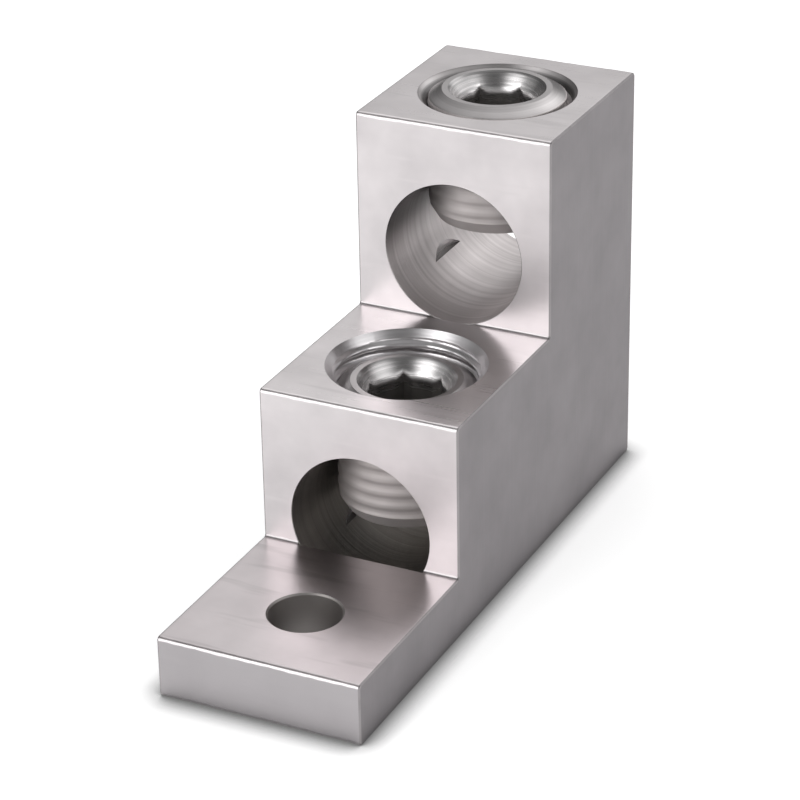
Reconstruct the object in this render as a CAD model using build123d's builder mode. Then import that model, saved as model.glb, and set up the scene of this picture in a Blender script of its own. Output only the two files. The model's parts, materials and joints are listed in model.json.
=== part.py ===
# Two-conductor mechanical lug for heavy cable. One stepped aluminium block carries a flat
# mounting tongue, two conductor bores one above the other, and a hex-socket set screw over
# each bore. Sizes are in millimetres. The origin is the centre of the stud hole on the
# bottom face, +Z is up, and +Y runs from the tongue to the back, where the cables enter.
import os
from math import radians, tan

from build123d import *

# Block: its width and the lengths of its tongue and two steps, front to back
block_width = 38.1
tongue_length = 38.5
tongue_thickness = 11.6
low_step_length = 39.2
high_step_length = 38.8
outer_corner_radius = 0.8
inner_corner_radius = 0.5

# Stud hole through the tongue
stud_hole_diameter = 12.9
stud_hole_setback = 17.5
stud_hole_deburr = 0.3

# Conductor bores, drilled from the back, with the metal left under and over them. The
# upper bore is sunk a little into the top of the low step.
conductor_bore_diameter = 26.8
low_bore_floor = 3.9
low_bore_roof = 10.0
high_bore_sink = 0.5
high_bore_roof = 11.2
bore_entry_chamfer = 0.8

# Every countersink in the block, at the bores' mouths and over the screws
countersink_angle = 90

# Tapped holes for the set screws, nominal thread one inch
thread_diameter = 25.4
thread_depth = 1.25
thread_clearance = 0.05
tap_past_screw = 0.5
drill_past_bore_axis = 8.8
hole_countersink_width = 1.8

# Set screws: turned body and broached socket
screw_length = 24.0
screw_point_height = 2.5
screw_point_inset = 1.5
screw_rim_diameter = 20.1
screw_rim_width = 1.2
screw_bevel_angle = 30
socket_across_flats = 12.7
socket_pilot_oversize = 0.6
socket_depth = 11.0
socket_countersink_angle = 72
pilot_tip_angle = 118

# How the screws were left: height of each rim over its step, and the turn of its socket
high_screw_rim_height = 0.8
low_screw_rim_height = -2.9
high_socket_turn = 20
low_socket_turn = 1

# Places worked out from the sizes above
bore_radius = conductor_bore_diameter / 2
low_bore_height = low_bore_floor + bore_radius
low_step_height = low_bore_height + bore_radius + low_bore_roof
high_bore_height = low_step_height - high_bore_sink + bore_radius
high_step_height = high_bore_height + bore_radius + high_bore_roof
front_y = -stud_hole_setback
low_face_y = front_y + tongue_length
high_face_y = low_face_y + low_step_length
back_y = high_face_y + high_step_length
low_screw_y = (low_face_y + high_face_y) / 2
high_screw_y = (high_face_y + back_y) / 2


# Lug body: a slice sawn from a stepped extrusion, then bored, drilled and tapped
with BuildPart() as lug_body:
    with BuildSketch(Plane.YZ):
        with BuildLine():
            FilletPolyline(
                (front_y, 0),
                (front_y, tongue_thickness),
                (low_face_y, tongue_thickness),
                (low_face_y, low_step_height),
                (high_face_y, low_step_height),
                (high_face_y, high_step_height),
                (back_y, high_step_height),
                (back_y, 0),
                radius=[
                    outer_corner_radius,
                    outer_corner_radius,
                    inner_corner_radius,
                    outer_corner_radius,
                    inner_corner_radius,
                    outer_corner_radius,
                    outer_corner_radius,
                    outer_corner_radius,
                ],
                close=True,
            )
        make_face()
    extrude(amount=block_width / 2, both=True)

    with Locations((0, 0, tongue_thickness)):
        Hole(stud_hole_diameter / 2, depth=tongue_thickness)
    chamfer(lug_body.edges(Select.LAST).filter_by(GeomType.CIRCLE), stud_hole_deburr)

    for bore_height, bore_end_y in ((low_bore_height, low_face_y), (high_bore_height, high_face_y)):
        with Locations(Plane(origin=(0, back_y, bore_height), z_dir=(0, 1, 0))):
            CounterSinkHole(
                bore_radius,
                bore_radius + bore_entry_chamfer,
                depth=back_y - bore_end_y,
                counter_sink_angle=countersink_angle,
            )

    for screw_y, step_height, bore_height, rim_height in (
        (low_screw_y, low_step_height, low_bore_height, low_screw_rim_height),
        (high_screw_y, high_step_height, high_bore_height, high_screw_rim_height),
    ):
        with Locations((0, screw_y, step_height)):
            CounterSinkHole(
                thread_diameter / 2,
                thread_diameter / 2 + hole_countersink_width,
                depth=screw_length - rim_height + tap_past_screw,
                counter_sink_angle=countersink_angle,
            )
            Hole(
                thread_diameter / 2 - thread_depth,
                depth=step_height - bore_height + drill_past_bore_axis,
            )
lug_body.part.label = "lug_body"


def set_screw(screw_y, rim_z, socket_turn):
    """One turned set screw, its rim at height rim_z, with a countersunk and broached hex socket."""
    thread_radius = thread_diameter / 2 - thread_clearance
    rim_radius = screw_rim_diameter / 2
    mouth_radius = rim_radius - screw_rim_width
    pilot_radius = (socket_across_flats + socket_pilot_oversize) / 2
    point_z = rim_z - screw_length
    bevel_drop = (thread_radius - rim_radius) * tan(radians(screw_bevel_angle))
    countersink_drop = (mouth_radius - pilot_radius) / tan(radians(socket_countersink_angle / 2))
    pilot_tip_drop = pilot_radius / tan(radians(pilot_tip_angle / 2))
    with BuildPart() as screw:
        with BuildSketch(Plane.XZ.offset(-screw_y)):
            with BuildLine():
                Polyline(
                    (0, point_z),
                    (thread_radius - screw_point_inset, point_z),
                    (thread_radius, point_z + screw_point_height),
                    (thread_radius, rim_z - bevel_drop),
                    (rim_radius, rim_z),
                    (mouth_radius, rim_z),
                    (pilot_radius, rim_z - countersink_drop),
                    (pilot_radius, rim_z - socket_depth),
                    (0, rim_z - socket_depth - pilot_tip_drop),
                    close=True,
                )
            make_face()
        revolve(axis=Axis((0, screw_y, 0), (0, 0, 1)))
        with BuildSketch(Plane.XY.offset(rim_z - socket_depth)):
            with Locations((0, screw_y)):
                RegularPolygon(
                    radius=socket_across_flats / 2,
                    side_count=6,
                    major_radius=False,
                    rotation=socket_turn,
                )
        extrude(amount=socket_depth, mode=Mode.SUBTRACT)
    return screw


upper_set_screw = set_screw(high_screw_y, high_step_height + high_screw_rim_height, high_socket_turn)
upper_set_screw.part.label = "upper_set_screw"

lower_set_screw = set_screw(low_screw_y, low_step_height + low_screw_rim_height, low_socket_turn)
lower_set_screw.part.label = "lower_set_screw"

os.makedirs("parts", exist_ok=True)
export_step(lug_body.part, "parts/lug_body.step")
export_step(upper_set_screw.part, "parts/upper_set_screw.step")
export_step(lower_set_screw.part, "parts/lower_set_screw.step")
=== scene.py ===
import json

import bmesh
import bpy
import numpy as np
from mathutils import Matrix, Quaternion, Vector


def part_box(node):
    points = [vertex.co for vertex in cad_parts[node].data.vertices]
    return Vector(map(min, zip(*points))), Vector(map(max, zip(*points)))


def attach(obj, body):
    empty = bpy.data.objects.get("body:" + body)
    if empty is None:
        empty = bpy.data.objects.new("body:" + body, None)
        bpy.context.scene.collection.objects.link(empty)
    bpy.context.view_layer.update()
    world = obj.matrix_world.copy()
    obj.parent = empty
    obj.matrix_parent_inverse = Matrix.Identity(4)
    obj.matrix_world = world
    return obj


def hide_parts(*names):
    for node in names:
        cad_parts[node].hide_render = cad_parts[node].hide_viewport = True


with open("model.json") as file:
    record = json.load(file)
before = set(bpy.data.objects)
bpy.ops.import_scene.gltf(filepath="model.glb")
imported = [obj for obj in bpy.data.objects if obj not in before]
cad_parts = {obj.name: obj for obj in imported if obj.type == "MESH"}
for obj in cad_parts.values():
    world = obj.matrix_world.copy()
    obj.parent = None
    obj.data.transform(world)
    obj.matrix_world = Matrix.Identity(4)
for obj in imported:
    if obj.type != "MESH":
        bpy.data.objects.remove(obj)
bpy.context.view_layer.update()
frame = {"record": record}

# Stepped block
# A slice sawn from a stepped aluminium extrusion and plated with satin tin. The tongue and the
# steps keep the soft corners of the extrusion, and the saw leaves crisp edges on the two sides.
block_low, block_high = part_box("lug_body")
half_width = block_high.x
front_face = block_low.y
back_face = block_high.y
tongue_top = 0.0116
low_face = 0.0210
low_top = 0.0407
high_face = 0.0602
high_top = block_high.z
outer_corner = 0.0008
inner_corner = 0.0005
edge_waver = 0.16
waver_waves = ((420, 1), (910, 2), (2300, 3))
waver_phase = 2.4
sawn_edge = 0.0003
sawn_edge_steps = 4
sections = 64
weld_distance = 1e-7
faces_squarely = 0.99
faces_mostly = 0.7


def rounded(corners, radii, steps=8):
    """Softens a closed outline, once for each row of radii. Each corner becomes an arc that touches
    both of its sides: its points turn evenly about the arc's centre, from one touching point to
    the other, as start * sin((1 - share) * sweep) + end * sin(share * sweep), over sin(sweep)."""
    corners = np.array(corners, float)
    radii = radii[..., None]
    before = np.roll(corners, 1, axis=0) - corners
    after = np.roll(corners, -1, axis=0) - corners
    before /= np.linalg.norm(before, axis=1, keepdims=True)
    after /= np.linalg.norm(after, axis=1, keepdims=True)
    half_angle = np.arccos((before * after).sum(1, keepdims=True)) / 2
    halfway = (before + after) / np.linalg.norm(before + after, axis=1, keepdims=True)
    centre = corners + halfway * radii / np.sin(half_angle)
    start = corners + before * radii / np.tan(half_angle) - centre
    end = corners + after * radii / np.tan(half_angle) - centre
    sweep = (np.pi - 2 * half_angle)[:, None]
    share = np.linspace(0, 1, steps + 1)[:, None]
    start, end, centre = start[..., None, :], end[..., None, :], centre[..., None, :]
    arc = start * np.sin((1 - share) * sweep) + end * np.sin(share * sweep)
    return (centre + arc / np.sin(sweep)).reshape(len(radii), -1, 2)


def closed_skin(name, points, materials, band_finish=None):
    """A closed surface over a grid of points: each row joins the next, each row's last point joins
    its first, and one face closes each end. band_finish gives the material of each band of rows."""
    rows, columns = points.shape[:2]
    column = np.arange(columns)
    row_start = np.arange(rows - 1)[:, None] * columns
    first = row_start + column
    second = row_start + (column + 1) % columns
    quads = np.stack([first, second, second + columns, first + columns], axis=2).reshape(-1, 4)
    ends = [column[::-1], column + (rows - 1) * columns]
    faces = quads.tolist() + [end.tolist() for end in ends]
    mesh = bpy.data.meshes.new(name)
    mesh.from_pydata(points.reshape(-1, 3).tolist(), [], faces)
    for material in materials:
        mesh.materials.append(material)
    if band_finish is not None:
        finish = np.repeat(band_finish, columns).tolist() + [band_finish[0], band_finish[-1]]
        mesh.polygons.foreach_set("material_index", finish)
    shell = bmesh.new()
    shell.from_mesh(mesh)
    bmesh.ops.remove_doubles(shell, verts=shell.verts, dist=weld_distance)
    bmesh.ops.dissolve_degenerate(shell, edges=shell.edges, dist=weld_distance)
    bmesh.ops.recalc_face_normals(shell, faces=shell.faces)
    shell.to_mesh(mesh)
    shell.free()
    obj = bpy.data.objects.new(name, mesh)
    bpy.context.scene.collection.objects.link(obj)
    return obj


def smooth_by_angle(mesh, degrees=30.0):
    """Shades smoothly across bends of less than the given angle."""
    mesh.shade_smooth()
    mesh.set_sharp_from_angle(angle=np.radians(degrees))


def keep_flats_flat(obj):
    """Corner normals that follow the largest face, so that flats stay flat beside their rounds."""
    modifier = obj.modifiers.new("flats", "WEIGHTED_NORMAL")
    modifier.keep_sharp = True
    modifier.weight = 100


def new_group(name, sockets_in, outputs):
    """An empty node group with named inputs (name, kind, value) and outputs (name, kind)."""
    group = bpy.data.node_groups.new(name, "ShaderNodeTree")
    for title, kind, value in sockets_in:
        socket = group.interface.new_socket(title, in_out="INPUT", socket_type=kind)
        if value is not None:
            socket.default_value = value
    for title, kind in outputs:
        group.interface.new_socket(title, in_out="OUTPUT", socket_type=kind)
    return group, group.nodes.new("NodeGroupInput"), group.nodes.new("NodeGroupOutput")


def node(tree, kind, inputs=None, **settings):
    """Adds a node, applies its settings, and fills or links the inputs that are given."""
    made = tree.nodes.new(kind)
    for key, value in settings.items():
        setattr(made, key, value)
    for key, value in (inputs or {}).items():
        if isinstance(value, bpy.types.NodeSocket):
            tree.links.new(value, made.inputs[key])
        else:
            made.inputs[key].default_value = value
    return made


def math_node(tree, operation, *values):
    """The result of one Math node."""
    return node(tree, "ShaderNodeMath", dict(enumerate(values)), operation=operation).outputs[0]


def mix(tree, share, first, second, colours=False):
    """The result of one Mix node: first where the share is 0, second where it is 1. The node keeps
    separate sockets for numbers and for colours, which go by their places in its lists."""
    kind, first_socket, second_socket, mixed = ("RGBA", 6, 7, 2) if colours else ("FLOAT", 2, 3, 0)
    inputs = {0: share, first_socket: first, second_socket: second}
    return node(tree, "ShaderNodeMix", inputs, data_type=kind).outputs[mixed]


# Drawn lines: fine streaks that run along X, the way the metal left the extrusion die
drawn_spacing = 0.0004
drawn_stretch = (0.02, 1.0, 1.0)
smear_scale = (45.0, 380.0, 380.0)
smear_start, smear_full = 0.56, 0.74
drawn_lines, given, result = new_group(
    "drawn_lines",
    [("Place", "NodeSocketVector", None), ("Spacing", "NodeSocketFloat", drawn_spacing)],
    [("Lines", "NodeSocketFloat"), ("Smears", "NodeSocketFloat")],
)
stretched = node(
    drawn_lines,
    "ShaderNodeVectorMath",
    {0: given.outputs["Place"], 1: drawn_stretch},
    operation="MULTIPLY",
)
lines_per_metre = math_node(drawn_lines, "DIVIDE", 1.0, given.outputs["Spacing"])
scaled = node(
    drawn_lines,
    "ShaderNodeVectorMath",
    {0: stretched.outputs[0], "Scale": lines_per_metre},
    operation="SCALE",
)
streaks = node(
    drawn_lines,
    "ShaderNodeTexNoise",
    {"Vector": scaled.outputs[0], "Scale": 1.0, "Detail": 3.0, "Roughness": 0.6},
)
drawn_lines.links.new(streaks.outputs["Fac"], result.inputs["Lines"])
drawn_out = node(
    drawn_lines,
    "ShaderNodeVectorMath",
    {0: given.outputs["Place"], 1: smear_scale},
    operation="MULTIPLY",
)
rubs = node(
    drawn_lines,
    "ShaderNodeTexNoise",
    {"Vector": drawn_out.outputs[0], "Scale": 1.0, "Detail": 2.0, "Roughness": 0.5},
)
smears = node(
    drawn_lines,
    "ShaderNodeMapRange",
    {"Value": rubs.outputs["Fac"], "From Min": smear_start, "From Max": smear_full},
    interpolation_type="SMOOTHSTEP",
)
drawn_lines.links.new(smears.outputs[0], result.inputs["Smears"])

# Tool rings: the feed marks of a drill, tap or lathe, which change only along the tool's axis
tool_rings, given, result = new_group(
    "tool_rings",
    [("Along", "NodeSocketFloat", 0.0), ("Spacing", "NodeSocketFloat", 0.001)],
    [("Rings", "NodeSocketFloat")],
)
turns = math_node(tool_rings, "DIVIDE", given.outputs["Along"], given.outputs["Spacing"])
marks = node(
    tool_rings,
    "ShaderNodeTexNoise",
    {"W": turns, "Scale": 1.0, "Detail": 4.0, "Roughness": 0.65},
    noise_dimensions="1D",
)
tool_rings.links.new(marks.outputs["Fac"], result.inputs["Rings"])

# Tin bloom: the slow cloudiness and the fine grain of the plating
cloud_scale = 90.0
grain_scale = 2600.0
noise_low, noise_high = 0.3, 0.7
tin_bloom, given, result = new_group(
    "tin_bloom",
    [("Place", "NodeSocketVector", None)],
    [("Cloud", "NodeSocketFloat"), ("Grain", "NodeSocketFloat")],
)
cloud = node(
    tin_bloom,
    "ShaderNodeTexNoise",
    {"Vector": given.outputs["Place"], "Scale": cloud_scale, "Detail": 3.0, "Roughness": 0.55},
)
grain = node(
    tin_bloom,
    "ShaderNodeTexNoise",
    {"Vector": given.outputs["Place"], "Scale": grain_scale, "Detail": 2.0, "Roughness": 0.6},
)
tin_bloom.links.new(cloud.outputs["Fac"], result.inputs["Cloud"])
tin_bloom.links.new(grain.outputs["Fac"], result.inputs["Grain"])

# Corner shade: painted shade, a dark line within 0.6 mm of the steps' inner corners
corner_shade_reach = 0.00060
corner_shade_core = 0.00015
corner_shade_tone = 0.62
corner_dirt, given, result = new_group(
    "corner_dirt",
    [("Place", "NodeSocketVector", None)],
    [("Dirt", "NodeSocketFloat")],
)
section_place = node(
    corner_dirt,
    "ShaderNodeVectorMath",
    {0: given.outputs["Place"], 1: (0.0, 1.0, 1.0)},
    operation="MULTIPLY",
)
nearest = 1.0
for corner_place in ((0, low_face, tongue_top), (0, high_face, low_top)):
    away = node(
        corner_dirt,
        "ShaderNodeVectorMath",
        {0: section_place.outputs[0], 1: corner_place},
        operation="DISTANCE",
    )
    nearest = math_node(corner_dirt, "MINIMUM", nearest, away.outputs["Value"])
corner_shading = node(
    corner_dirt,
    "ShaderNodeMapRange",
    {"Value": nearest, "From Min": corner_shade_reach, "From Max": corner_shade_core},
    interpolation_type="SMOOTHSTEP",
)
corner_dirt.links.new(corner_shading.outputs[0], result.inputs["Dirt"])


def tin(
    name, light, dark, roughness, rough_spread, marks_of, mark_depth, grain_depth, mark_tone=0.0
):
    """Satin tin: cloudy between two tones, rougher where the marks lie, with the marks and the
    grain as relief. marks_of(tree, place) gives the marks that the piece was left with and what
    darkens it, and mark_tone is how far the marks, rather than the clouds, choose the tone."""
    material = bpy.data.materials.new(name)
    material.use_nodes = True
    tree = material.node_tree
    shader = tree.nodes["Principled BSDF"]
    shader.inputs["Metallic"].default_value = 1.0
    place = node(tree, "ShaderNodeTexCoord").outputs["Object"]
    bloom = node(tree, "ShaderNodeGroup", node_tree=tin_bloom)
    tree.links.new(place, bloom.inputs["Place"])
    marks_value, darkening = marks_of(tree, place)
    choice = bloom.outputs["Cloud"]
    if mark_tone:
        choice = mix(tree, mark_tone, choice, marks_value)
    choice = node(
        tree,
        "ShaderNodeMapRange",
        {"Value": choice, "From Min": noise_low, "From Max": noise_high},
    )
    tone = mix(tree, choice.outputs[0], (*light, 1.0), (*dark, 1.0), colours=True)
    for mask, shade in darkening:
        shaded = (*[value * shade for value in light], 1.0)
        tone = mix(tree, mask, tone, shaded, colours=True)
    tree.links.new(tone, shader.inputs["Base Color"])
    smoothest, roughest = roughness - rough_spread, roughness + rough_spread
    rough = node(
        tree,
        "ShaderNodeMapRange",
        {"Value": marks_value, "To Min": smoothest, "To Max": roughest},
    )
    tree.links.new(rough.outputs[0], shader.inputs["Roughness"])
    relief = node(tree, "ShaderNodeBump", {"Height": marks_value, "Distance": mark_depth})
    fine = node(
        tree,
        "ShaderNodeBump",
        {"Height": bloom.outputs["Grain"], "Distance": grain_depth, "Normal": relief.outputs[0]},
    )
    tree.links.new(fine.outputs[0], shader.inputs["Normal"])
    return material


def drawn_marks(smear):
    """Lines along X and faint smears where the die drew, with painted shade along the inner
    corners.
    """

    def marks_of(tree, place):
        lines = node(tree, "ShaderNodeGroup", node_tree=drawn_lines)
        tree.links.new(place, lines.inputs["Place"])
        corner_shade_lines = node(tree, "ShaderNodeGroup", node_tree=corner_dirt)
        tree.links.new(place, corner_shade_lines.inputs["Place"])
        # The corner line darkens the tone as painted shade in the inner corners.
        darkening = [(lines.outputs["Smears"], smear), (corner_shade_lines.outputs["Dirt"], corner_shade_tone)]
        return lines.outputs["Lines"], darkening

    return marks_of


def ring_marks(axis, spacing, painted_shade_axis=None, painted_shade_from=0.0, painted_shade_to=1.0, painted_shade_tone=1.0):
    """Rings about an axis, for the walls that a turning tool cut. Given an axis for painted shade,
    the wall darkens smoothly to the given share of its tone as that coordinate goes between the two
    given bounds."""

    def marks_of(tree, place):
        split = node(tree, "ShaderNodeSeparateXYZ", {0: place})
        along = split.outputs[axis]
        rings = node(tree, "ShaderNodeGroup", node_tree=tool_rings)
        rings.inputs["Spacing"].default_value = spacing
        tree.links.new(along, rings.inputs["Along"])
        if painted_shade_axis is None:
            return rings.outputs["Rings"], []
        # Painted shade: the tone darkens along the chosen coordinate.
        painted_shade = node(
            tree,
            "ShaderNodeMapRange",
            {"Value": split.outputs[painted_shade_axis], "From Min": painted_shade_from, "From Max": painted_shade_to},
            interpolation_type="SMOOTHSTEP",
        )
        return rings.outputs["Rings"], [(painted_shade.outputs[0], painted_shade_tone)]

    return marks_of


drawn_tin = tin(
    "drawn_tin",
    light=(0.675, 0.641, 0.648),
    dark=(0.565, 0.536, 0.544),
    roughness=0.40,
    rough_spread=0.04,
    marks_of=drawn_marks(smear=0.94),
    mark_depth=1e-6,
    grain_depth=1e-6,
)
rubbed_tin = tin(
    "rubbed_tin",
    light=(0.77, 0.731, 0.737),
    dark=(0.67, 0.634, 0.64),
    roughness=0.29,
    rough_spread=0.05,
    marks_of=drawn_marks(smear=0.86),
    mark_depth=1e-6,
    grain_depth=1e-6,
)
tongue_tin = tin(
    "tongue_tin",
    light=(0.68, 0.631, 0.639),
    dark=(0.60, 0.556, 0.564),
    roughness=0.32,
    rough_spread=0.05,
    marks_of=drawn_marks(smear=0.80),
    mark_depth=1e-6,
    grain_depth=1e-6,
)
# The tongue's flat end: its darker tone is painted shade, standing in for the reflection of the
# shadowed table just in front of it.
end_tin = tin(
    "end_tin",
    light=(0.43, 0.41, 0.42),
    dark=(0.40, 0.38, 0.39),
    roughness=0.42,
    rough_spread=0.04,
    marks_of=drawn_marks(smear=0.97),
    mark_depth=1e-6,
    grain_depth=1e-6,
)
burr_tin = tin(
    "burr_tin",
    light=(0.34, 0.32, 0.325),
    dark=(0.28, 0.265, 0.27),
    roughness=0.42,
    rough_spread=0.04,
    marks_of=drawn_marks(smear=0.80),
    mark_depth=2e-6,
    grain_depth=2e-6,
)
# The sawn sides: a rougher finish with saw rings, in a dark tone that is partly the sawn metal's
# own and partly painted shade, as the side stands away from the light.
sawn_tin = tin(
    "sawn_tin",
    light=(0.262, 0.246, 0.254),
    dark=(0.226, 0.212, 0.22),
    roughness=0.50,
    rough_spread=0.04,
    marks_of=ring_marks("Y", spacing=0.0006),
    mark_depth=3e-6,
    grain_depth=2e-6,
)

# The block's outline, corner by corner: its place along Y, its height and its radius
corners = [
    (front_face, 0, outer_corner),
    (back_face, 0, outer_corner),
    (back_face, high_top, outer_corner),
    (high_face, high_top, outer_corner),
    (high_face, low_top, inner_corner),
    (low_face, low_top, outer_corner),
    (low_face, tongue_top, inner_corner),
    (front_face, tongue_top, outer_corner),
]


def carried_block(name, materials):
    """The block's skin: its outline carried from one sawn side to the other, with corner radii that
    waver a little on the way, as the mean of a few slow waves. Within one edge width of each side
    the outline draws in along a quarter round. The first material is the drawn one. The others go
    to the sawn sides, their edges, the tongue's top, the other level faces and the tongue's end."""
    turn = np.linspace(0, np.pi / 2, sawn_edge_steps + 1)
    inset = sawn_edge * (1 - np.sin(turn))
    depth = sawn_edge * (1 - np.cos(turn))
    middle = np.linspace(-half_width + sawn_edge, half_width - sawn_edge, sections + 1)[1:-1]
    across = np.concatenate([depth - half_width, middle, half_width - depth[::-1]])
    inset = np.concatenate([inset, np.zeros(len(middle)), inset[::-1]])
    corner_rows = np.array(corners)
    phase = np.arange(len(corners)) * waver_phase
    wave = sum(np.sin(across[:, None] * rate + phase * share) for rate, share in waver_waves)
    radii = corner_rows[:, 2] * (1 + edge_waver / len(waver_waves) * wave)
    outline = rounded(corner_rows[:, :2], radii)
    along = np.roll(outline, -1, axis=1) - np.roll(outline, 1, axis=1)
    inward = np.stack([-along[..., 1], along[..., 0]], axis=2)
    inward /= np.linalg.norm(inward, axis=2, keepdims=True)
    points = np.empty((*outline.shape[:2], 3))
    points[..., 0] = across[:, None]
    points[..., 1:] = outline + inward * inset[:, None, None]
    obj = closed_skin(name, points, materials)
    normal = np.empty(len(obj.data.polygons) * 3)
    obj.data.polygons.foreach_get("normal", normal)
    middle = np.empty_like(normal)
    obj.data.polygons.foreach_get("center", middle)
    normal, middle = normal.reshape(-1, 3), middle.reshape(-1, 3)
    sawn = np.abs(normal[:, 0]) > faces_squarely
    burr = np.abs(middle[:, 0]) > half_width - sawn_edge
    level = np.abs(normal[:, 2]) > faces_mostly
    end = (normal[:, 1] < -faces_squarely) & (middle[:, 1] < front_face + outer_corner)
    tongue = level & (np.abs(middle[:, 2] - tongue_top) < outer_corner)
    finish = np.select([sawn, burr, tongue, level, end], [1, 2, 3, 4, 5], 0)
    obj.data.polygons.foreach_set("material_index", finish.astype(np.int32))
    return obj


block_finishes = [drawn_tin, sawn_tin, burr_tin, tongue_tin, rubbed_tin, end_tin]
block = carried_block("stepped_block", block_finishes)

# Bores, stud hole and tapped holes
# Cut into the solid block with drills and taps: the two conductor bores from the back, the stud
# hole through the tongue, and over each bore a countersunk hole tapped for its set screw.
mounts = {mount["name"]: mount for mount in frame["record"]["mounts"]}
stud_radius = mounts["stud_hole"]["dims"]["r_mm"] / 1000
stud_deburr = 0.0003
bore_radius = 0.0134
bore_mounts = ("lower_conductor_bore", "upper_conductor_bore")
bore_heights = [mounts[name]["pos_m"][2] for name in bore_mounts]
bore_entry = 0.0008
mouth_break = 0.00012
drill_overrun = 0.00055
screw_centres = ((low_face + high_face) / 2, (high_face + back_face) / 2)
hole_radius = 0.0127
hole_rim_width = 0.0018
drill_radius = 0.01145
drill_past_bore = 0.0088
tap_past_screw = 0.0005
pitch = 0.00254
thread_flat = 1 / 8
hole_thread_depth = 0.0009
tap_runout = 0.0045
tap_fade = 2 * pitch
hole_rows = 150
overshoot = 0.0005
round_steps = 144
shade_under_axis = 0.006
shade_over_axis = 0.004
# Painted shade on the upper countersink, which darkens downward between these two depths under the
# top face.
rim_shade_start = 0.0004
rim_shade_end = 0.0011
wall_band, rim_band, floor_band = range(3)

# The two bores share one finish, in a darker copy for the long lower bore and a lighter copy for
# the upper: painted shade and painted light, as the upper bore takes light through its open back.
lower_bore_tin = tin(
    "lower_bore_tin",
    light=(0.44, 0.42, 0.40),
    dark=(0.36, 0.34, 0.325),
    roughness=0.42,
    rough_spread=0.05,
    marks_of=ring_marks("Y", spacing=0.0018),
    mark_depth=5e-5,
    grain_depth=2e-6,
    mark_tone=0.7,
)
# Over its upper part the upper bore also darkens, from shade_under_axis below its axis to
# shade_over_axis above it: painted shade.
upper_bore_tin = tin(
    "upper_bore_tin",
    light=(0.66, 0.618, 0.618),
    dark=(0.44, 0.41, 0.408),
    roughness=0.42,
    rough_spread=0.05,
    marks_of=ring_marks(
        "Y",
        spacing=0.0014,
        painted_shade_axis="Z",
        painted_shade_from=bore_heights[1] - shade_under_axis,
        painted_shade_to=bore_heights[1] + shade_over_axis,
        painted_shade_tone=0.12,
    ),
    mark_depth=3e-5,
    grain_depth=2e-6,
    mark_tone=0.6,
)
turned_tin = tin(
    "turned_tin",
    light=(0.86, 0.84, 0.85),
    dark=(0.74, 0.72, 0.73),
    roughness=0.30,
    rough_spread=0.06,
    marks_of=ring_marks("Z", spacing=0.0005),
    mark_depth=1e-5,
    grain_depth=1e-6,
)
# The stud hole's drilled wall: its dark tone is painted shade for the inside of the hole, which the
# table closes below.
drilled_tin = tin(
    "drilled_tin",
    light=(0.44, 0.415, 0.405),
    dark=(0.39, 0.365, 0.355),
    roughness=0.46,
    rough_spread=0.05,
    marks_of=ring_marks("Z", spacing=0.0009),
    mark_depth=1e-5,
    grain_depth=2e-6,
)
# The upper countersink: it darkens downward under the top face, as painted shade where the screw's
# head shades the cone.
worn_tin = tin(
    "worn_tin",
    light=(0.80, 0.77, 0.77),
    dark=(0.34, 0.32, 0.32),
    roughness=0.36,
    rough_spread=0.06,
    marks_of=ring_marks(
        "Z",
        spacing=0.0006,
        painted_shade_axis="Z",
        painted_shade_from=high_top - rim_shade_start,
        painted_shade_to=high_top - rim_shade_end,
        painted_shade_tone=0.22,
    ),
    mark_depth=2e-5,
    grain_depth=2e-6,
    mark_tone=0.6,
)
# The drill's flat floor under each tapped hole: its dark tone is painted shade, for the ledge that
# sits in shadow.
dull_tin = tin(
    "dull_tin",
    light=(0.26, 0.245, 0.24),
    dark=(0.20, 0.188, 0.183),
    roughness=0.50,
    rough_spread=0.05,
    marks_of=ring_marks("Z", spacing=0.0007),
    mark_depth=1e-5,
    grain_depth=2e-6,
)


def turned(
    name, radius, height, centre, axis, materials, start=0.0, steps=round_steps, finish=None
):
    """A turned shape: each row of the profile is carried round the axis, so that its point at
    angle a is radius times (cos a, sin a), at that row's height along the axis."""
    angle = start + np.linspace(0, 2 * np.pi, steps, endpoint=False)
    grid = (len(radius), steps)
    radius = np.broadcast_to(np.array(radius, float).reshape(len(radius), -1), grid)
    height = np.broadcast_to(np.array(height, float).reshape(len(height), -1), grid)
    spoke = [radius * np.cos(angle), radius * np.sin(angle)]
    order = {"Z": (0, 1, 2), "Y": (0, 2, 1)}[axis]
    points = np.empty((*radius.shape, 3))
    for place, value in zip(order, (*spoke, height)):
        points[..., place] = value
    return closed_skin(name, points + np.array(centre), materials, finish)


def thread_groove(angle, height, start_height):
    """How deep a right-hand thread's groove is, from 0 on the crest to 1 in the root. The phase
    rises one turn for each pitch of height and falls one turn for each turn of the angle. Crest and
    root are each flat over thread_flat of the pitch, and the flanks between them ease in and out,
    as depth squared times (3 - 2 * depth)."""
    phase = ((height - start_height) / pitch - angle / (2 * np.pi)) % 1.0
    from_root = np.abs(2 * phase - 1)
    depth = np.clip((1 - thread_flat - from_root) / (1 - 2 * thread_flat), 0, 1)
    return depth * depth * (3 - 2 * depth)


cutters = []
stud_profile = np.array(
    [
        (0, -overshoot),
        (stud_radius + stud_deburr + overshoot, -overshoot),
        (stud_radius, stud_deburr),
        (stud_radius, tongue_top - stud_deburr),
        (stud_radius + stud_deburr + overshoot, tongue_top + overshoot),
        (0, tongue_top + overshoot),
    ]
)
cutters.append(turned("stud_drill", *stud_profile.T, (0, 0, 0), "Z", [drilled_tin]))

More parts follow.
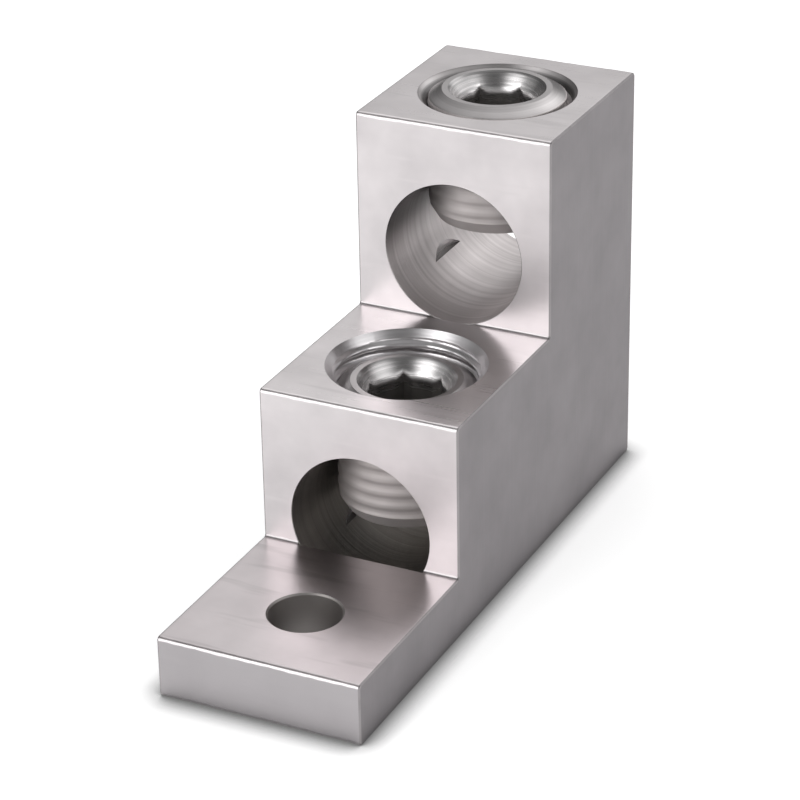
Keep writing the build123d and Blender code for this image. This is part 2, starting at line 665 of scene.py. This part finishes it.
for bore_height, face, bore_tin in zip(
    bore_heights, (low_face, high_face), (lower_bore_tin, upper_bore_tin)
):
    bore_profile = np.array(
        [
            (0, face - drill_overrun),
            (bore_radius + mouth_break, face - drill_overrun),
            (bore_radius + mouth_break, face),
            (bore_radius, face + mouth_break),
            (bore_radius, back_face - bore_entry),
            (bore_radius + bore_entry + overshoot, back_face + overshoot),
            (0, back_face + overshoot),
        ]
    )
    name = "bore_drill_%d" % len(cutters)
    cutters.append(turned(name, *bore_profile.T, (0, 0, bore_height), "Y", [bore_tin]))

screw_bodies = ("lower_screw", "upper_screw")
screw_nodes = ("lower_set_screw", "upper_set_screw")
hole_thread_starts = (0.0372, 0.0753)
for node_name, centre, top, bore_height, start_height, rim_tin in zip(
    screw_nodes,
    screw_centres,
    (low_top, high_top),
    bore_heights,
    hole_thread_starts,
    (turned_tin, worn_tin),
):
    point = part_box(node_name)[0].z
    tap_end = point - tap_past_screw
    drill_end = bore_height - drill_past_bore
    thread_top = top - hole_rim_width
    runout = bore_height + tap_runout
    angle = np.linspace(0, 2 * np.pi, round_steps, endpoint=False)[None]
    turns_height = np.linspace(tap_end, thread_top + overshoot, hole_rows)[:, None]
    fade = np.clip((turns_height - runout) / tap_fade, 0, 1)
    groove = thread_groove(angle, turns_height, start_height)
    wall = hole_radius + hole_thread_depth * fade * groove
    cone = hole_radius + np.maximum(turns_height - thread_top, 0)
    wall = np.maximum(wall, cone)
    radius = np.concatenate(
        [
            np.zeros((1, round_steps)),
            np.full((2, round_steps), drill_radius),
            wall,
            np.full((1, round_steps), hole_radius + hole_rim_width + overshoot),
            np.zeros((1, round_steps)),
        ]
    )
    height = np.concatenate(
        [
            [[drill_end], [drill_end], [tap_end]],
            turns_height,
            [[top + overshoot], [top + overshoot]],
        ]
    )
    finish = np.full(len(radius) - 1, wall_band, np.int32)
    finish[0] = floor_band
    finish[3:-1][turns_height[:, 0] > thread_top] = rim_band
    finishes = [turned_tin, rim_tin, dull_tin]
    name = "tap_%s" % node_name
    cutters.append(turned(name, radius, height, (0, centre, 0), "Z", finishes, finish=finish))

for cutter in cutters:
    cut = block.modifiers.new(cutter.name, "BOOLEAN")
    cut.operation = "DIFFERENCE"
    cut.solver = "EXACT"
    cut.material_mode = "TRANSFER"
    cut.object = cutter
bpy.context.view_layer.update()
cut_block = block.evaluated_get(bpy.context.evaluated_depsgraph_get())
finished = bpy.data.meshes.new_from_object(cut_block)
block.modifiers.clear()
block.data = finished
for cutter in cutters:
    bpy.data.objects.remove(cutter)
smooth_by_angle(block.data)
keep_flats_flat(block)
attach(block, "block")
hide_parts("lug_body")

# Set screws
# Turned from aluminium bar, threaded to the point, bevelled round the rim, drilled, countersunk
# and broached for a hex key, then tin plated. Each is left at its own height in its hole.
thread_clearance = 0.00005
screw_radius = hole_radius - thread_clearance
screw_thread_depth = 0.0002
point_height = 0.0025
point_inset = 0.0015
rim_radius = 0.01005
rim_width = 0.0012
mouth_radius = rim_radius - rim_width
bevel_slope = np.tan(np.radians(30))
socket_half_flats = 0.00635
pilot_oversize = 0.0003
pilot_radius = socket_half_flats + pilot_oversize
socket_depth = 0.011
cone_slope = np.tan(np.radians(36))
tip_slope = np.tan(np.radians(59))
edge_break = 0.0001
scallop_round = 0.0004
screw_steps = 192
screw_rows = 240
socket_rows = 7
plain_band, thread_band, cone_band, socket_band = range(4)
socket_turns = (np.radians(1), np.radians(20))
screw_thread_starts = (0.00127, 0.00127)

thread_tin = tin(
    "thread_tin",
    light=(0.69, 0.648, 0.642),
    dark=(0.56, 0.526, 0.52),
    roughness=0.72,
    rough_spread=0.05,
    marks_of=ring_marks("Z", spacing=0.0006),
    mark_depth=4e-6,
    grain_depth=1e-6,
)
screw_tin = tin(
    "screw_tin",
    light=(0.64, 0.615, 0.615),
    dark=(0.44, 0.42, 0.42),
    roughness=0.32,
    rough_spread=0.06,
    marks_of=ring_marks("Z", spacing=0.0008),
    mark_depth=2e-5,
    grain_depth=1e-6,
    mark_tone=0.7,
)
coned_tin = tin(
    "coned_tin",
    light=(0.74, 0.72, 0.72),
    dark=(0.44, 0.43, 0.43),
    roughness=0.28,
    rough_spread=0.06,
    marks_of=ring_marks("Z", spacing=0.0006),
    mark_depth=2e-5,
    grain_depth=1e-6,
    mark_tone=0.9,
)
broached_tin = tin(
    "broached_tin",
    light=(0.34, 0.32, 0.31),
    dark=(0.28, 0.27, 0.26),
    roughness=0.45,
    rough_spread=0.08,
    marks_of=ring_marks("Z", spacing=0.0006),
    mark_depth=4e-6,
    grain_depth=1e-6,
)


def set_screw(name, centre, point, rim, turn, start_height):
    """A set screw, row by row over its surface: out across the point, up the outside, in over the
    rim, down the countersink and socket wall, and down the drill's cone to the middle. Outside,
    the radius is the least of thread, point chamfer and bevel. In the socket it is the greater of
    the drilled round and the hexagon, half_flats / cos(angle from the nearest flat's middle)."""
    angle = turn + np.linspace(0, 2 * np.pi, screw_steps, endpoint=False)[None]
    outside = np.linspace(point, rim, screw_rows)[:, None]
    thread = screw_radius - screw_thread_depth * thread_groove(angle, outside, start_height)
    chamfer = screw_radius - point_inset * (1 - (outside - point) / point_height)
    bevel = rim_radius + (rim - outside) / bevel_slope
    outside_radius = np.minimum(np.minimum(thread, chamfer), bevel)

    from_flat = (angle - turn) % (np.pi / 3) - np.pi / 6
    socket = np.maximum(pilot_radius, socket_half_flats / np.cos(from_flat))
    lip_height = rim - (mouth_radius - socket) / cone_slope
    bend = np.arctan(cone_slope)
    share = np.linspace(0, 1, socket_rows)[:, None]
    cone_share = share * (1 - scallop_round / (mouth_radius - socket.max()))
    cone_radius = mouth_radius - cone_share * (mouth_radius - socket)
    cone_height = rim - cone_share * (rim - lip_height)
    lip_turn = bend * (1 - share[1:])
    lip_out = cone_radius[-1:] - socket
    lip_round = lip_out / (1 - np.cos(bend))
    lip_radius = socket + lip_round * (1 - np.cos(lip_turn))
    lip_drop = lip_round * (np.sin(bend) - np.sin(lip_turn))
    lip_rows = cone_height[-1:] - lip_drop
    wall_height = lip_rows[-1:] + share[1:] * (rim - socket_depth - lip_rows[-1:])
    wall_radius = np.broadcast_to(socket, wall_height.shape)
    tip = rim - socket_depth - pilot_radius / tip_slope

    def ring(radius, height):
        return np.full((1, screw_steps), radius), np.full((1, screw_steps), height)

    rows = [
        ring(0, point),
        (outside_radius, np.broadcast_to(outside, outside_radius.shape)),
        ring(mouth_radius + edge_break, rim),
        (cone_radius[:1], cone_height[:1] - edge_break),
        (cone_radius[1:], cone_height[1:]),
        (lip_radius, lip_rows),
        (wall_radius, wall_height),
        ring(pilot_radius, rim - socket_depth),
        ring(0, tip),
    ]
    radius = np.concatenate([row[0] for row in rows])
    height = np.concatenate([row[1] for row in rows])
    finish = np.full(len(radius) - 1, plain_band, np.int32)
    finish[: 1 + np.count_nonzero(bevel[:, 0] > screw_radius)] = thread_band
    finish[len(outside) + 1 :] = cone_band
    finish[len(radius) - 2 - len(wall_radius) :] = socket_band
    return turned(
        name,
        radius,
        height,
        (0, centre, 0),
        "Z",
        [screw_tin, thread_tin, coned_tin, broached_tin],
        start=turn,
        steps=screw_steps,
        finish=finish,
    )


for body, node_name, centre, turn, start_height in zip(
    screw_bodies, screw_nodes, screw_centres, socket_turns, screw_thread_starts
):
    node_low, node_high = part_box(node_name)
    screw = set_screw("threaded_" + node_name, centre, node_low.z, node_high.z, turn, start_height)
    smooth_by_angle(screw.data, degrees=25)
    keep_flats_flat(screw)
    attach(screw, body)
    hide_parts(node_name)

# Table, light and camera
# A plain white table that keeps the block's shadow, with a contact shadow painted into its colour
# and glow
#  near the block, a studio of broad soft panels round it, and the camera at the place that the
#  block's own edges give.
table_half = 2.0
table_tone = 0.96
table_glow = 0.46
contact_reach = 0.005
contact_clear = 0.5
contact_tone = 0.22
contact_samples = 16
room_tone = 0.08
# Each panel: its azimuth from the front, its elevation and its spread in degrees, its strength
panels = (
    ("front", 335, 22, 36, 3.00),
    ("left", 300, 5, 45, 0.50),
    ("right", 90, 12, 45, 1.60),
    ("front_right", 40, 5, 40, 0.40),
    ("back_right", 150, 26, 32, 1.00),
    ("back", 195, 50, 45, 1.07),
    ("top", 150, 80, 45, 0.25),
)
camera_place = Vector((0.2131, -0.3919, 0.2731))
camera_aim = Vector((0, 0.0377, 0.0348))
camera_roll = np.radians(1.05)
camera_lens = 136.6

table_mesh = bpy.data.meshes.new("table")
corner = np.array([(-1, -1, 0), (1, -1, 0), (1, 1, 0), (-1, 1, 0)]) * table_half
table_mesh.from_pydata(corner.tolist(), [], [(0, 1, 2, 3)])
table = bpy.data.objects.new("table", table_mesh)
bpy.context.scene.collection.objects.link(table)
table_white = bpy.data.materials.new("table_white")
table_white.use_nodes = True
tree = table_white.node_tree
tree.nodes.remove(tree.nodes["Principled BSDF"])
rays = node(tree, "ShaderNodeLightPath")
seen = math_node(tree, "MAXIMUM", rays.outputs["Is Camera Ray"], rays.outputs["Is Glossy Ray"])
seen = math_node(tree, "MAXIMUM", seen, rays.outputs["Is Transmission Ray"])
# Painted shadow: within contact_reach of the block, the table's colour and glow darken with ambient
# occlusion, down to contact_tone.
contact = node(
    tree, "ShaderNodeAmbientOcclusion", {"Distance": contact_reach}, samples=contact_samples
)
open_share = node(
    tree,
    "ShaderNodeMapRange",
    {"Value": contact.outputs["AO"], "From Min": contact_clear, "To Min": contact_tone},
).outputs[0]
glow = math_node(tree, "MULTIPLY", math_node(tree, "MULTIPLY", seen, table_glow), open_share)
glow = node(tree, "ShaderNodeEmission", {"Strength": glow})
shaded_paper = math_node(tree, "MULTIPLY", open_share, table_tone)
matt = node(tree, "ShaderNodeBsdfDiffuse", {"Color": shaded_paper})
both = node(tree, "ShaderNodeAddShader", {0: glow.outputs[0], 1: matt.outputs[0]})
tree.links.new(both.outputs[0], tree.nodes["Material Output"].inputs["Surface"])
table_mesh.materials.append(table_white)

world = bpy.data.worlds.new("studio")
bpy.context.scene.world = world
world.use_nodes = True
tree = world.node_tree
toward = node(tree, "ShaderNodeTexCoord").outputs["Generated"]
light = room_tone
for name, azimuth, elevation, spread, strength in panels:
    turn, lift = np.radians(azimuth), np.radians(elevation)
    edge = np.cos(np.radians(spread))
    axis = (np.sin(turn) * np.cos(lift), -np.cos(turn) * np.cos(lift), np.sin(lift))
    nearness = node(tree, "ShaderNodeVectorMath", {0: toward, 1: axis}, operation="DOT_PRODUCT")
    panel = node(
        tree,
        "ShaderNodeMapRange",
        {"Value": nearness.outputs["Value"], "From Min": edge, "To Max": strength},
        interpolation_type="SMOOTHSTEP",
        label=name,
    )
    light = math_node(tree, "ADD", light, panel.outputs[0])
tree.links.new(light, tree.nodes["Background"].inputs["Strength"])
tree.nodes["Background"].inputs["Color"].default_value = (1, 1, 1, 1)

camera_data = bpy.data.cameras.new("camera")
camera_data.lens = camera_lens
camera = bpy.data.objects.new("camera", camera_data)
camera.location = camera_place
camera.rotation_mode = "QUATERNION"
view_axis = (camera_aim - camera_place).normalized()
camera.rotation_quaternion = Quaternion(view_axis, camera_roll) @ view_axis.to_track_quat("-Z", "Y")
bpy.context.scene.collection.objects.link(camera)
bpy.context.scene.camera = camera
bpy.context.scene.view_settings.view_transform = "Standard"
